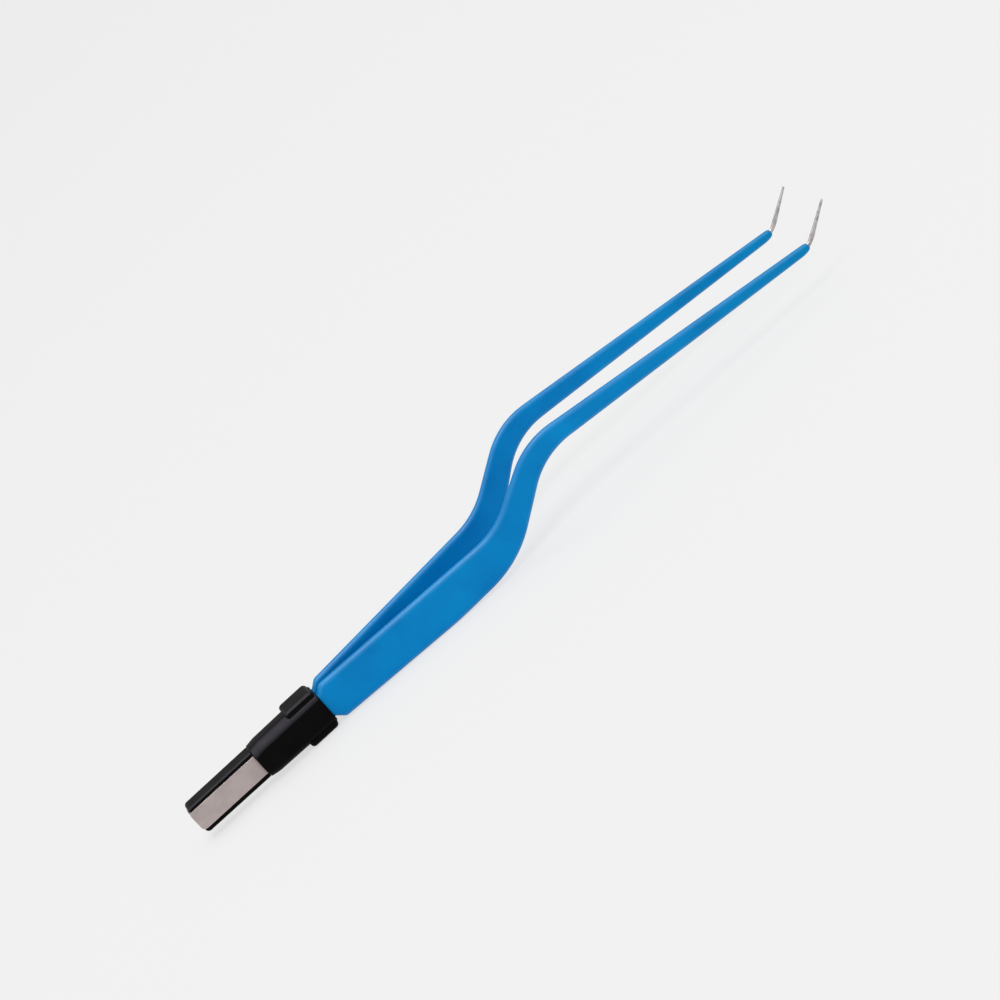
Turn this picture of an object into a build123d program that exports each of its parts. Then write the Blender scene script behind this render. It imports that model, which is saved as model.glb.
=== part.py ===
from build123d import *
import os
from math import cos, radians, sin

os.makedirs("parts", exist_ok=True)

# Bipolar forceps: two insulated spring arms with a bayonet step and bare upturned tips, joined at the rear
# by a black plug with two flat contact blades. Lengths are in millimetres.
# The design frame has X along the plug towards the tips, Z up to the side of the bayonet step, and the two
# arms mirrored about the plane Y = 0. X = 0 is the rear end of the blades and Z = 0 the plug's middle.
# At the end every solid leans forward and moves so that the forceps rest on the floor at Z = 0.

# Steel arm and its insulating coat
coat = 0.34
steel_edge = 0.13
coat_edge = 0.58
coat_end_round = 0.22
arm_root_x = 36.2
coat_start_x = 37.0
coat_end = (191.55, 7.56)
coat_end_angle = 20.0
tip_start_x = 190.5
root_half_width = 3.45
grip_top = 5.0
grip_bottom = -5.33
shoulder_x = 39.4
shoulder_end_x = 41.3

# Side outline of a coated arm: corners of its upper and lower edges, with the rounding of each corner
step_foot_upper = (93.8, 6.04, 19.0)
step_head_upper = (111.75, 18.36, 19.0)
bend_upper = (190.95, 8.27, 1.6)
knee_start_lower = (75.0, -5.18, 60.0)
step_foot_lower = (93.5, -3.75, 27.0)
step_head_lower = (113.45, 12.95, 18.0)
bend_lower = (191.3, 6.1, 8.0)

# Bare tip: bent up from the working section and tapering to a fine blunt end
tip_end = (199.95, 13.82)
tip_angle = 36.5
tip_end_height = 0.4
tip_side_thickness = 0.55

# Plan of one arm: distance of its middle from the plane of symmetry, and its coated thickness
spread_root = (37.7, 1.53)
spread_knee = (116.06, 9.19)
spread_end = (200.0, 10.11)
thickness_root = 1.86
thickness_knee = 1.74
spread_radius = 200.0

# Plug: contact blades, the spacer between them and the housing
blade_width = 5.8
blade_thickness = 1.1
blade_middle = 1.5
blade_end_radius = 1.2
blade_length = 36.0
contact_face_end_x = 19.2
contact_face_rise = 0.05
spacer_start_x = 0.4
spacer_end_x = 29.0
spacer_rear_width = 7.75
spacer_front_width = 7.95
spacer_inner_width = 7.0
spacer_thickness = 4.1
spacer_corner = 1.0
spacer_edge = 0.3
housing_start_x = 19.4
housing_end_x = 39.2
housing_shoulder_x = 21.8
housing_width_rear = 8.6
housing_width_shoulder = 9.45
housing_width_front = 9.9
housing_thickness_rear = 6.8
housing_thickness_front = 7.1
housing_corner = 2.6
housing_rear_chamfer = 0.3
housing_front_chamfer = 0.3
ear_start_x = 30.8
ear_end_x = 39.1
ear_thickness = 6.0
ear_reach = 5.65
ear_corner = 1.0
ear_rim = 0.45
mouth_start_x = 35.9
mouth_half_width = 3.85
mouth_half_thickness = 2.95
mouth_corner = 0.9

# Rest on the floor: forward lean about the Y axis, and the shift that puts the origin under the middle
rest_lean = 0.751
rest_shift = (-100.075, 0.0, 6.145)


def rounded_face(rows):
    """Closed face through (u, v, radius) corners, each rounded by its own radius."""
    face = Sketch() + make_face(Polyline(*[(u, v) for u, v, r in rows], close=True))
    for u, v, r in rows:
        if r:
            corner = face.vertices().sort_by_distance((u, v, 0))[0]
            face = fillet(corner, r)
    return face


def arm_outline():
    """Side view of a coated arm with its tip, as if the coat ran to the very end of the tip."""
    along = (cos(radians(tip_angle)), sin(radians(tip_angle)))
    across = (-along[1], along[0])
    half = tip_end_height / 2 + coat
    end = (tip_end[0] + coat * along[0], tip_end[1] + coat * along[1])
    rows = [
        (arm_root_x - 1, root_half_width - 0.15, 0),
        (shoulder_x, root_half_width, 1.0),
        (shoulder_end_x, grip_top, 1.5),
        step_foot_upper,
        step_head_upper,
        bend_upper,
        (end[0] + across[0] * half, end[1] + across[1] * half, 0.52),
        (end[0] - across[0] * half, end[1] - across[1] * half, 0.52),
        bend_lower,
        step_head_lower,
        step_foot_lower,
        knee_start_lower,
        (shoulder_end_x, grip_bottom, 1.5),
        (shoulder_x, -root_half_width, 1.0),
        (arm_root_x - 1, -root_half_width + 0.15, 0),
    ]
    return rounded_face(rows)


def arm_plan(skin):
    """Plan view of the arm at +Y, thinner by the skin on each side."""
    slope = (spread_knee[1] - spread_root[1]) / (spread_knee[0] - spread_root[0])
    root_y = spread_root[1] - slope * (spread_root[0] - arm_root_x)
    end_half = tip_side_thickness / 2 + coat - skin
    knee_half = thickness_knee / 2 - skin
    root_half = thickness_root / 2 - skin
    rows = [
        (arm_root_x, root_y + root_half, 0),
        (spread_knee[0], spread_knee[1] + knee_half, spread_radius),
        (spread_end[0] + 1, spread_end[1] + end_half, 0),
        (spread_end[0] + 1, spread_end[1] - end_half, 0),
        (spread_knee[0], spread_knee[1] - knee_half, spread_radius),
        (arm_root_x, root_y - root_half, 0),
    ]
    return rounded_face(rows)


def arm_block(outline, skin):
    """Arm with sharp edges, cut from the side outline and the plan."""
    side = extrude(Plane.XZ * outline, amount=20, both=True)
    plan = extrude(arm_plan(skin), amount=30, both=True)
    return side & plan


def long_edges_of(arm, x_from):
    """Edges that run along an arm in front of an X station."""
    return [e for e in arm.edges() if abs((e % 0.5).Y) < 0.6 and e.center().X > x_from]


def straight_box(x_from, x_to, half_thickness, half_width):
    """Box centred on the plug axis between two X stations."""
    box = Box(x_to - x_from, 2 * half_thickness, 2 * half_width)
    return Pos((x_from + x_to) / 2, 0, 0) * box


def tapered_block(x_from, x_to, rear, front):
    """Block along X between two (thickness, width, corner radius) sections."""
    plane = Plane(origin=(x_from, 0, 0), x_dir=(0, 1, 0), z_dir=(1, 0, 0))
    first = plane * RectangleRounded(*rear)
    last = plane.offset(x_to - x_from) * RectangleRounded(*front)
    return loft([first, last], ruled=True)


def arm_pair():
    """Steel and coat of the arm at +Y."""
    outer = arm_outline()
    core = arm_block(offset(outer, amount=-coat, kind=Kind.INTERSECTION), coat)
    front = Pos(tip_start_x + 20, 0, 0) * Box(40, 60, 80)
    tip = core & front
    steel = core - front + chamfer(long_edges_of(tip, tip_start_x + 0.1), steel_edge)
    end = Pos(coat_end[0], 0, coat_end[1]) * Rot(0, -coat_end_angle, 0) * Pos(15, 0, 0) * Box(30, 60, 40)
    full = arm_block(outer, 0) - end
    lengthwise = [e for e in long_edges_of(full, arm_root_x + 0.1) if abs((e % 0.5).X) > 0.6]
    full = fillet(lengthwise, coat_edge)
    end_face = full.faces().sort_by(Axis.X)[-1]
    full = chamfer(end_face.edges(), coat_end_round * 2, coat_end_round, reference=end_face)
    root = Pos(coat_start_x - 10, 0, 0) * Box(20, 60, 40)
    return steel, full - root - steel


def contact_blade():
    """Contact strip at +Y: rounded rear corners, a softened rim, slightly thinner inside the housing."""
    half = blade_width / 2
    rows = [
        (0, half, blade_end_radius),
        (blade_length, half, 0),
        (blade_length, -half, 0),
        (0, -half, blade_end_radius),
    ]
    flat = Plane.XZ * rounded_face(rows)
    strip = Pos(0, blade_middle, 0) * extrude(flat, amount=blade_thickness / 2, both=True)
    top = blade_middle + blade_thickness / 2
    cut_length = blade_length - contact_face_end_x
    strip -= Pos(contact_face_end_x + cut_length / 2, top, 0) * Box(cut_length, 2 * contact_face_rise, 20)
    outside = strip.faces().sort_by(Axis.Y)[-1]
    return chamfer(outside.edges().filter_by(lambda e: e.center().X < contact_face_end_x - 0.1), 0.15)


def spacer():
    """Insulating tongue with a channel on each side for a blade, narrower where the housing grips it."""
    rear = spacer_rear_width / 2
    front = spacer_front_width / 2
    rows = [
        (spacer_start_x, rear, spacer_corner),
        (housing_start_x, front, 0),
        (housing_start_x, -front, 0),
        (spacer_start_x, -rear, spacer_corner),
    ]
    body = extrude(Plane.XZ * rounded_face(rows), amount=spacer_thickness / 2, both=True)
    rims = [e for e in body.edges() if abs((e % 0.5).Y) < 0.5 and e.center().X < housing_start_x - 0.1]
    body = chamfer(rims, spacer_edge)
    body += straight_box(housing_start_x, spacer_end_x, spacer_thickness / 2, spacer_inner_width / 2)
    floor = blade_middle - blade_thickness / 2
    channel_depth = spacer_thickness / 2 - floor + 1
    for side in (1, -1):
        body -= Pos(15, side * (floor + channel_depth / 2), 0) * Box(40, channel_depth, blade_width)
    return body


def ear():
    """Finger ear on the upper narrow side of the housing, with rounded edges and a slanted front."""
    rows = [
        (ear_start_x, 4.0, 0),
        (ear_start_x, ear_reach, ear_corner),
        (ear_end_x - 0.6, ear_reach, ear_corner),
        (ear_end_x, 4.0, 0),
    ]
    side_view = Plane.XZ * rounded_face(rows)
    block = extrude(side_view, amount=ear_thickness / 2, both=True)
    rims = [e for e in block.edges() if e.center().Z > 4.1 and abs((e % 0.5).Y) < 0.5]
    return chamfer(rims, ear_rim)


def housing_side():
    """Wide view of the housing without its ears: it swells from the tongue, then widens slowly."""
    upper = [
        (housing_start_x, housing_width_rear / 2, 0),
        (housing_shoulder_x, housing_width_shoulder / 2, 6.0),
        (housing_end_x, housing_width_front / 2, 0),
    ]
    lower = [(x, -z, r) for x, z, r in reversed(upper)]
    return Plane.XZ * rounded_face(upper + lower)


def housing_plan():
    """Narrow view of the housing: a slightly tapered rectangle along X."""
    rear = housing_thickness_rear / 2
    front = housing_thickness_front / 2
    rows = [
        (housing_start_x, rear, 0),
        (housing_end_x, front, 0),
        (housing_end_x, -front, 0),
        (housing_start_x, -rear, 0),
    ]
    return rounded_face(rows)


def housing():
    """Moulded housing: a rounded tapering box with two ears, closed round the blades, open at the mouth."""
    body = extrude(housing_side(), amount=20, both=True) & extrude(housing_plan(), amount=20, both=True)
    long_edges = [e for e in body.edges() if abs((e % 0.5).X) > 0.9]
    body = fillet(long_edges, housing_corner)
    body = chamfer(body.faces().sort_by(Axis.X)[0].edges(), housing_rear_chamfer)
    body = chamfer(body.faces().sort_by(Axis.X)[-1].edges(), housing_front_chamfer)
    body = body + ear() + mirror(ear(), about=Plane.XY)
    body -= straight_box(housing_start_x - 1, spacer_end_x, spacer_thickness / 2, spacer_inner_width / 2)
    mouth_size = (2 * mouth_half_thickness, 2 * mouth_half_width, mouth_corner)
    body -= tapered_block(mouth_start_x, housing_end_x + 1, mouth_size, mouth_size)
    slot_thickness = blade_thickness - contact_face_rise
    slot_length = mouth_start_x - spacer_end_x + 1
    for side in (1, -1):
        slot = Box(slot_length, slot_thickness, blade_width)
        middle = side * (blade_middle - contact_face_rise / 2)
        body -= Pos((mouth_start_x + spacer_end_x) / 2, middle, 0) * slot
    return body


def placed(shape):
    """Moves a solid from the design frame to where the forceps rest on the floor."""
    return Pos(*rest_shift) * Rot(0, rest_lean, 0) * shape


steel, insulation = arm_pair()
blade = contact_blade()
pieces = {
    "left_arm": steel,
    "right_arm": mirror(steel, about=Plane.XZ),
    "left_insulation": insulation,
    "right_insulation": mirror(insulation, about=Plane.XZ),
    "left_contact_blade": blade,
    "right_contact_blade": mirror(blade, about=Plane.XZ),
    "contact_spacer": spacer(),
    "plug_housing": housing(),
}
for name, shape in pieces.items():
    shape = placed(shape)
    box = shape.bounding_box()
    print(name, round(shape.volume, 2), shape.is_valid, len(shape.solids()), box.min, box.max)
    export_step(shape, f"parts/{name}.step")
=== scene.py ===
import bpy
from math import cos, exp, pi, radians, sin, sqrt
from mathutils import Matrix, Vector, noise
from mathutils.bvhtree import BVHTree


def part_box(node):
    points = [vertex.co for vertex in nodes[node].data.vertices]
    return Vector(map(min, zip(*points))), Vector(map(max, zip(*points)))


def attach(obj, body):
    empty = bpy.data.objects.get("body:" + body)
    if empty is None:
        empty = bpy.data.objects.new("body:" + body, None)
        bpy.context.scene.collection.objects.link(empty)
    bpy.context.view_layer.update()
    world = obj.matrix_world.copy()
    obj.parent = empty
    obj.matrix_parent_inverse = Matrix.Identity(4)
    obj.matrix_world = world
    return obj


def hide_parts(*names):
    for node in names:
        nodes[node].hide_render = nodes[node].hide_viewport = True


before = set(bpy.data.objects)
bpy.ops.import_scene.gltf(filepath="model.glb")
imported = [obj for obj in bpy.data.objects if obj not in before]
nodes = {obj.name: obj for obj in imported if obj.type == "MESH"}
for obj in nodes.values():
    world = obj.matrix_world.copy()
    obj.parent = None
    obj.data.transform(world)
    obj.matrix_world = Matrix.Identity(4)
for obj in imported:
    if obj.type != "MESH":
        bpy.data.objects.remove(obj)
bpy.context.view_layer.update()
scene = bpy.context.scene


# Node helpers
class Graph:
    """A material's node tree, with short calls for the nodes used here."""

    def __init__(self, name):
        self.material = bpy.data.materials.new(name)
        self.material.use_nodes = True
        self.tree = self.material.node_tree
        self.shader = self.tree.nodes["Principled BSDF"]

    def add(self, kind, **values):
        node = self.tree.nodes.new(kind)
        for key, value in values.items():
            setattr(node, key, value)
        return node

    def link(self, source, target):
        self.tree.links.new(source, target)

    def coords(self, scale=(1, 1, 1)):
        """Object coordinates in metres, stretched for brushed or drawn patterns."""
        place = self.add("ShaderNodeTexCoord")
        mapping = self.add("ShaderNodeMapping")
        mapping.inputs["Scale"].default_value = scale
        self.link(place.outputs["Object"], mapping.inputs["Vector"])
        return mapping.outputs["Vector"]

    def noise(self, vector, scale, detail, rough=0.5):
        node = self.add("ShaderNodeTexNoise")
        node.inputs["Scale"].default_value = scale
        node.inputs["Detail"].default_value = detail
        node.inputs["Roughness"].default_value = rough
        self.link(vector, node.inputs["Vector"])
        return node.outputs["Fac"]

    def remap(self, value, low, high, from_low=0.3, from_high=0.7):
        """Takes a value from one range to another; the first range is that of most noise by default."""
        node = self.add("ShaderNodeMapRange")
        node.inputs["From Min"].default_value = from_low
        node.inputs["From Max"].default_value = from_high
        node.inputs["To Min"].default_value = low
        node.inputs["To Max"].default_value = high
        self.link(value, node.inputs["Value"])
        return node.outputs["Result"]

    def ramp(self, value, *stops):
        """Maps a 0..1 value to colours at given positions."""
        node = self.add("ShaderNodeValToRGB")
        items = node.color_ramp.elements
        items[0].position, items[0].color = stops[0][0], (*stops[0][1], 1)
        items[1].position, items[1].color = stops[-1][0], (*stops[-1][1], 1)
        for position, colour in stops[1:-1]:
            items.new(position).color = (*colour, 1)
        self.link(value, node.inputs["Fac"])
        return node.outputs["Color"]

    def mix(self, factor, under, over, mode="MIX"):
        """Lays one fixed colour over another by a factor; 6, 7 and output 2 are the colour sockets."""
        node = self.add("ShaderNodeMix", data_type="RGBA", blend_type=mode)
        self.link(factor, node.inputs[0])
        self.link(under, node.inputs[6])
        node.inputs[7].default_value = (*over, 1)
        return node.outputs[2]

    def bump(self, height, strength, distance, normal=None):
        node = self.add("ShaderNodeBump")
        node.inputs["Strength"].default_value = strength
        node.inputs["Distance"].default_value = distance
        self.link(height, node.inputs["Height"])
        if normal is not None:
            self.link(normal, node.inputs["Normal"])
        return node.outputs["Normal"]

    def forward(self, start, end):
        """0 at one place along the forceps and 1 at another, in metres of X."""
        place = self.add("ShaderNodeTexCoord")
        parts = self.add("ShaderNodeSeparateXYZ")
        self.link(place.outputs["Object"], parts.inputs["Vector"])
        return self.remap(parts.outputs["X"], 0.0, 1.0, from_low=start, from_high=end)

    def corner(self, lower=True):
        """Up to 0.5 on the lengthwise rounded edges, which point half sideways and half up or down."""
        place = self.add("ShaderNodeTexCoord")
        parts = self.add("ShaderNodeSeparateXYZ")
        self.link(place.outputs["Normal"], parts.inputs["Vector"])
        sideways = self.add("ShaderNodeMath", operation="ABSOLUTE")
        self.link(parts.outputs["Y"], sideways.inputs[0])
        upright = parts.outputs["Z"]
        if lower:
            size = self.add("ShaderNodeMath", operation="ABSOLUTE")
            self.link(upright, size.inputs[0])
            upright = size.outputs[0]
        both = self.add("ShaderNodeMath", operation="MULTIPLY")
        self.link(sideways.outputs[0], both.inputs[0])
        self.link(upright, both.inputs[1])
        return both.outputs[0]

    def set(self, **values):
        """Sets sockets of the shader, spelt with _ for a space, to constants or links."""
        for key, value in values.items():
            socket = self.shader.inputs[key.replace("_", " ")]
            if hasattr(value, "is_linked"):
                self.link(value, socket)
            else:
                socket.default_value = value


# Materials
def blue_coat():
    """Dip-coated blue insulation: slight mottling, orange-peel skin, satin faces and shinier edges."""
    deep, plain, light = (0.0, 0.228, 0.59), (0.0, 0.260, 0.65), (0.0, 0.292, 0.69)
    front_tint, scuffed = (0.92, 0.985, 0.915), (0.004, 0.33, 0.72)
    tint_start, tint_end = 0.03, 0.09
    face_shine, edge_shine = 0.075, 0.65
    g = Graph("blue_insulation")
    here = g.coords()
    cloud = g.noise(here, scale=90, detail=3)
    colour = g.ramp(cloud, (0.30, deep), (0.5, plain), (0.72, light))
    colour = g.mix(g.forward(tint_start, tint_end), colour, front_tint, "MULTIPLY")
    scuff = g.noise(g.coords(scale=(1, 6, 6)), scale=260, detail=6, rough=0.65)
    scuffing = g.remap(scuff, 0.0, 0.35, from_low=0.62, from_high=0.75)
    colour = g.mix(scuffing, colour, scuffed)
    peel = g.noise(here, scale=900, detail=2)
    fine = g.noise(here, scale=5200, detail=3, rough=0.6)
    skin = g.bump(peel, strength=0.10, distance=0.0002)
    skin = g.bump(fine, strength=0.12, distance=0.00004, normal=skin)
    shine = g.remap(g.corner(), face_shine, edge_shine, from_low=0.12, from_high=0.42)
    g.set(Base_Color=colour, Roughness=g.remap(scuff, 0.36, 0.5), Specular_IOR_Level=shine, Normal=skin)
    return g.material


def tip_steel():
    """Bare tip of the arm: satin steel with dark spots from use and a warm tint next to the coat."""
    dull, bright = (0.46, 0.45, 0.45), (0.53, 0.52, 0.52)
    warm, spot = (0.54, 0.475, 0.48), (0.27, 0.255, 0.255)
    warm_start, warm_end = 0.0915, 0.0945
    g = Graph("tip_steel")
    here = g.coords()
    grind = g.noise(here, scale=2400, detail=3)
    stain = g.noise(here, scale=800, detail=3)
    colour = g.ramp(grind, (0.3, dull), (0.7, bright))
    colour = g.mix(g.forward(warm_end, warm_start), colour, warm)
    staining = g.remap(stain, 0.0, 0.75, from_low=0.46, from_high=0.64)
    colour = g.mix(staining, colour, spot)
    g.set(Base_Color=colour, Metallic=0.8, Roughness=g.remap(grind, 0.34, 0.46))
    g.set(Normal=g.bump(grind, strength=0.12, distance=0.00003))
    return g.material


def contact_metal():
    """Plug contact: warm grey satin metal with fine lengthwise rub marks from the socket."""
    dull, bright, cloudy = (0.45, 0.385, 0.372), (0.56, 0.482, 0.470), (0.37, 0.318, 0.308)
    g = Graph("contact_metal")
    rub = g.noise(g.coords(scale=(1, 1, 22)), scale=420, detail=6, rough=0.62)
    cloud = g.noise(g.coords(), scale=160, detail=4, rough=0.55)
    colour = g.ramp(rub, (0.3, dull), (0.7, bright))
    clouding = g.remap(cloud, 0.0, 0.6, from_low=0.40, from_high=0.66)
    colour = g.mix(clouding, colour, cloudy)
    g.set(Base_Color=colour, Metallic=0.6, Roughness=g.remap(rub, 0.38, 0.55))
    g.set(Normal=g.bump(rub, strength=0.2, distance=0.00005))
    return g.material


def black_plastic():
    """Moulded black plastic with a fine matt grain; the upper rounded edges carry a painted highlight in
    dark grey.
    """
    deep, plain = (0.0012, 0.0011, 0.0013), (0.003, 0.0026, 0.0029)
    # Dust specks, then the dark grey of a painted highlight on the upper rounded edges
    dust, painted_highlight = (0.016, 0.0145, 0.0155), (0.047, 0.044, 0.053)
    g = Graph("black_plastic")
    here = g.coords()
    grain = g.noise(here, scale=4200, detail=3, rough=0.6)
    cloud = g.noise(here, scale=220, detail=4)
    speck = g.noise(here, scale=2600, detail=2)
    colour = g.ramp(cloud, (0.3, deep), (0.7, plain))
    dusting = g.remap(speck, 0.0, 0.3, from_low=0.6, from_high=0.75)
    colour = g.mix(dusting, colour, dust)
    # Painted highlight: the upper rounded edges, where the lamps above shine, are lightened to dark grey;
    # the lower edges stay black
    painted_highlight_mask = g.remap(g.corner(lower=False), 0.0, 1.0, from_low=0.16, from_high=0.46)
    colour = g.mix(painted_highlight_mask, colour, painted_highlight)
    g.set(Base_Color=colour, Roughness=g.remap(cloud, 0.34, 0.5), Specular_IOR_Level=0.045)
    g.set(Normal=g.bump(grain, strength=0.2, distance=0.00005))
    return g.material


coat, steel, metal, plastic = blue_coat(), tip_steel(), contact_metal(), black_plastic()
finish = {
    "left_arm": steel,
    "right_arm": steel,
    "left_contact_blade": metal,
    "right_contact_blade": metal,
    "contact_spacer": plastic,
    "plug_housing": plastic,
}
for name, material in finish.items():
    obj = nodes[name]
    obj.data.materials.clear()
    obj.data.materials.append(material)


# Coats: each CAD coat is gauged with rays and rebuilt with the soft edges of a dipped coat

# Gauging: lengths in metres, spans in stations
station_step = 0.00035
ray_start = 0.009
root_search = 0.001
end_search = 0.003
end_facing = 0.8
straight_root = 0.006
smooth_reach = 0.0004
smooth_widths = 3
gauge_rounds = 3
tangent_span = 2
spread_span = 3

# Section of the dipped coat: lengths in metres, and a faint wave along and up the arm
edge_reach = 0.0016
edge_reach_share = 0.8
edge_power = 2.5
arc_steps = 8
face_steps = 10
outer_growth = 0.00016
inner_growth = 0.00006
edge_growth = 0.0001
end_round_length = 0.0013
end_round_depth = 0.00028
wave_share = 0.012
wave_along = 260
wave_up = 150

across = Vector((0, 1, 0))
root_stations = int(straight_root / station_step)


class Gauge:
    """Measures the outside of one CAD coat."""

    def __init__(self, name):
        self.mesh = nodes[name].data
        points = [v.co for v in self.mesh.vertices]
        self.tree = BVHTree.FromPolygons(points, [p.vertices for p in self.mesh.polygons])
        self.low, self.high = (Vector(corner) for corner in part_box(name))
        root = [v for v in points if v.x < self.low.x + root_search]
        self.root = sum(root, Vector()) / len(root)
        self.root.x = self.low.x + station_step

    def reach(self, centre, direction):
        """Distance from a point inside the coat to its outside."""
        hit = self.tree.ray_cast(centre + direction * ray_start, -direction, ray_start)[0]
        return None if hit is None else (hit - centre).dot(direction)

    def half(self, centre, direction):
        """Moves the point to the middle of the coat along a direction; gives it and the half width."""
        ahead, behind = self.reach(centre, direction), self.reach(centre, -direction)
        if ahead is None or behind is None:
            return None, None
        return centre + direction * (ahead - behind) / 2, (ahead + behind) / 2

    def end_plane(self):
        """Point and normal of the flat end of the coat at the tip."""
        limit = self.high.x - end_search
        flat = [p for p in self.mesh.polygons if p.normal.x > end_facing and p.center.x > limit]
        area = sum(p.area for p in flat)
        point = sum((p.center * p.area for p in flat), Vector()) / area
        normal = sum((p.normal * p.area for p in flat), Vector()).normalized()
        return point, normal

    def spine(self):
        """Middle line of the coat from its root to its end plane."""
        end, facing = self.end_plane()
        up = Vector((0, 0, 1))
        centre, line = self.root, []
        while centre is not None and (centre - end).dot(facing) < -station_step:
            centre, _ = self.half(centre, up)
            if centre is not None:
                centre, _ = self.half(centre, across)
            if centre is not None:
                line.append(centre)
                centre = centre + Vector((station_step, 0, 0))
        return line

    def stations(self):
        """Middle point, upward normal, half height and half thickness at every station."""
        line, rows = self.spine(), []
        for _ in range(gauge_rounds):
            rows = []
            for i, centre in enumerate(line):
                k = max(i, root_stations)
                along = line[min(k + tangent_span, len(line) - 1)] - line[k - tangent_span]
                normal = Vector((-along.z, 0, along.x)).normalized()
                middle, height = self.half(centre, normal)
                if middle is None:
                    continue
                middle, thickness = self.half(middle, across)
                rows.append((middle, normal, height, thickness))
            line = [row[0] for row in rows]
        return rows


def smoothed(rows):
    """Takes the facets of the gauged mesh out of the stations, and leaves the shoulder crisp."""
    reach = int(smooth_widths * smooth_reach / station_step)
    result = []
    for i in range(len(rows)):
        total, parts = 0.0, [Vector(), Vector(), 0.0, 0.0]
        span = min(reach, max(i - root_stations, 0), len(rows) - 1 - i)
        for j in range(i - span, i + span + 1):
            weight = exp(-0.5 * ((j - i) * station_step / smooth_reach) ** 2)
            total += weight
            parts = [part + value * weight for part, value in zip(parts, rows[j])]
        result.append([part / total for part in parts])
    return result


def side(height, thickness):
    """Points (up, out) down one side of a section: a flat face that rounds off softly to both edges."""
    reach = min(edge_reach, edge_reach_share * height)
    quarter = []
    for k in range(arc_steps):
        turn = pi / 2 * k / arc_steps
        up = height - reach + reach * cos(turn) ** (2 / edge_power)
        quarter.append((up, thickness * sin(turn) ** (2 / edge_power)))
    face = []
    for k in range(face_steps + 1):
        face.append(((height - reach) * cos(pi * k / face_steps), thickness))
    return quarter + face + [(-u, w) for u, w in reversed(quarter)]


def section(height, thickness, outward):
    """Points (up, across) round one section; the outer face is coated more heavily than the inner one."""
    outer = side(height + edge_growth, thickness + outer_growth)
    inner = side(height + edge_growth, thickness + inner_growth)[1:-1]
    ring = [(u, w * outward) for u, w in outer] + [(u, -w * outward) for u, w in reversed(inner)]
    return ring if outward < 0 else ring[::-1]


def coat_rings(rows):
    """Rings of points along the stations; they follow the spread of the arm and close in at the tip."""
    tip = rows[-1][0]
    outward = 1 if tip.y > 0 else -1
    rings = []
    for i, (middle, normal, height, thickness) in enumerate(rows):
        ahead, behind = rows[min(i + spread_span, len(rows) - 1)][0], rows[max(i - spread_span, 0)][0]
        spread = (ahead.y - behind.y) / (ahead.x - behind.x)
        from_end = min((tip - middle).length / end_round_length, 1.0)
        inset = end_round_depth * (1 - sqrt(1 - (1 - from_end) ** 2))
        ring = []
        for u, w in section(height - inset, thickness - inset, outward):
            wave = 1 + wave_share * noise.noise(middle * wave_along + Vector((u * wave_up, 0, 0)))
            ring.append(middle + normal * u + Vector((0, w * wave + spread * normal.x * u, 0)))
        rings.append(ring)
    return rings


def closed_skin(name, rings):
    """Mesh with smooth sides between the rings and a flat cap on each end."""
    around = len(rings[0])
    faces = []
    for i in range(len(rings) - 1):
        for k in range(around):
            a, b = i * around + k, i * around + (k + 1) % around
            faces.append((a, b, b + around, a + around))
    faces.append(tuple(range(around - 1, -1, -1)))
    faces.append(tuple((len(rings) - 1) * around + k for k in range(around)))
    mesh = bpy.data.meshes.new(name)
    mesh.from_pydata([point for ring in rings for point in ring], [], faces)
    mesh.polygons.foreach_set("use_smooth", [True] * (len(faces) - 2) + [False, False])
    return mesh


def dipped_coat(name, cad_name, body):
    """Coat with the CAD coat's outline and the soft edges of a dipped coat."""
    mesh = closed_skin(name, coat_rings(smoothed(Gauge(cad_name).stations())))
    mesh.materials.append(coat)
    piece = bpy.data.objects.new(name, mesh)
    scene.collection.objects.link(piece)
    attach(piece, body)
    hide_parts(cad_name)


dipped_coat("left_coat", "left_insulation", "left_arm_body")
dipped_coat("right_coat", "right_insulation", "right_arm_body")


# Floor and background
backdrop = (0.905, 0.905, 0.905)
floor_colour = (0.87, 0.87, 0.87)
floor_size = 8.0
floor_drop = 0.0002
even_share = 0.72
sky_strength = 0.5


def background_ray(tree):
    """1 for a ray that shows the background: seen straight, mirrored or through something clear."""
    rays = tree.nodes.new("ShaderNodeLightPath")
    total = rays.outputs["Is Camera Ray"]
    for name in ("Is Glossy Ray", "Is Transmission Ray"):
        larger = tree.nodes.new("ShaderNodeMath")
        larger.operation = "MAXIMUM"
        tree.links.new(total, larger.inputs[0])
        tree.links.new(rays.outputs[name], larger.inputs[1])
        total = larger.outputs[0]
    return total


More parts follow.
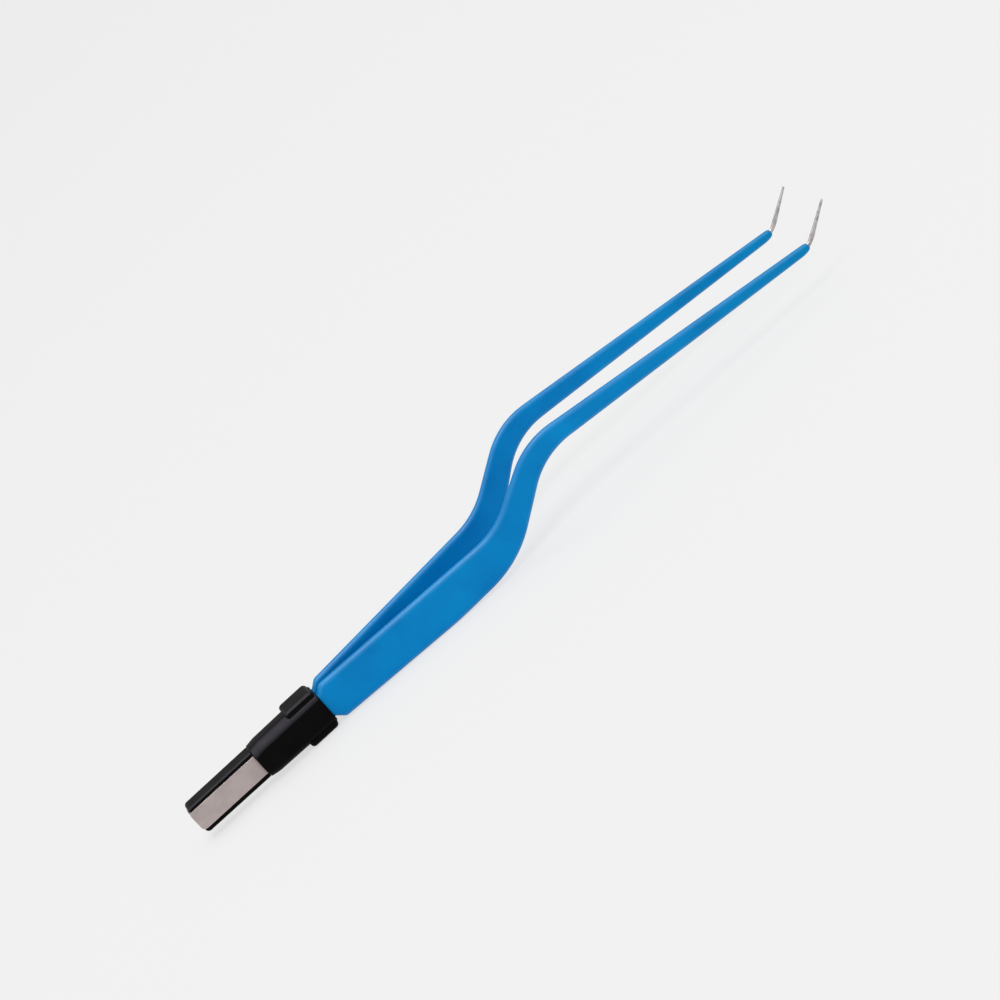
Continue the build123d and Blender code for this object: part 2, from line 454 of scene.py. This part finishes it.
def pale_floor():
    """Plain matt floor; what shows of it is evened out towards the backdrop's tone."""
    g = Graph("pale_floor")
    g.set(Base_Color=(*floor_colour, 1), Roughness=0.9, Specular_IOR_Level=0.0)
    even = g.add("ShaderNodeEmission")
    even.inputs["Color"].default_value = (*backdrop, 1)
    share = g.add("ShaderNodeMath", operation="MULTIPLY")
    share.inputs[1].default_value = even_share
    g.link(background_ray(g.tree), share.inputs[0])
    seen = g.add("ShaderNodeMixShader")
    g.link(share.outputs[0], seen.inputs[0])
    g.link(g.shader.outputs[0], seen.inputs[1])
    g.link(even.outputs[0], seen.inputs[2])
    g.link(seen.outputs[0], g.tree.nodes["Material Output"].inputs["Surface"])
    return g.material


def floor():
    """Square floor just under the forceps."""
    mesh = bpy.data.meshes.new("floor")
    h = floor_size / 2
    mesh.from_pydata([(-h, -h, 0), (h, -h, 0), (h, h, 0), (-h, h, 0)], [], [(0, 1, 2, 3)])
    mesh.materials.append(pale_floor())
    obj = bpy.data.objects.new("floor", mesh)
    obj.location = (0, 0, -floor_drop)
    scene.collection.objects.link(obj)


def studio():
    """World that lights the object in plain white and shows the backdrop's colour."""
    world = bpy.data.worlds.new("studio")
    scene.world = world
    world.use_nodes = True
    tree = world.node_tree
    sky = tree.nodes["Background"]
    sky.inputs["Color"].default_value = (1, 1, 1, 1)
    sky.inputs["Strength"].default_value = sky_strength
    pale = tree.nodes.new("ShaderNodeBackground")
    pale.inputs["Color"].default_value = (*backdrop, 1)
    seen = tree.nodes.new("ShaderNodeMixShader")
    tree.links.new(background_ray(tree), seen.inputs[0])
    tree.links.new(sky.outputs[0], seen.inputs[1])
    tree.links.new(pale.outputs[0], seen.inputs[2])
    tree.links.new(seen.outputs[0], tree.nodes["World Output"].inputs["Surface"])


floor()
studio()


# Lights and camera
def lamp(name, location, size, power):
    """Round soft light that points at the origin, on the floor under the middle of the forceps."""
    data = bpy.data.lights.new(name, "AREA")
    data.shape, data.size, data.energy = "DISK", size, power
    obj = bpy.data.objects.new(name, data)
    obj.location = location
    obj.rotation_euler = (-Vector(location)).to_track_quat("-Z", "Y").to_euler()
    scene.collection.objects.link(obj)


lamp("top", location=(0.1, 0.3, 2.0), size=1.6, power=9.0)
lamp("front_top", location=(-0.1, -0.85, 1.75), size=0.7, power=11.0)

# Camera at the photograph's view
camera = bpy.data.objects.new("camera", bpy.data.cameras.new("camera"))
camera.location = (-0.063658, -0.599637, 0.28208)
camera.rotation_euler = (radians(59.5594), radians(36.354), radians(-25.2723))
camera.data.sensor_width = 36.0
camera.data.lens = 103.968
camera.data.clip_start = 0.01
scene.collection.objects.link(camera)
scene.camera = camera
scene.view_settings.view_transform = "Standard"
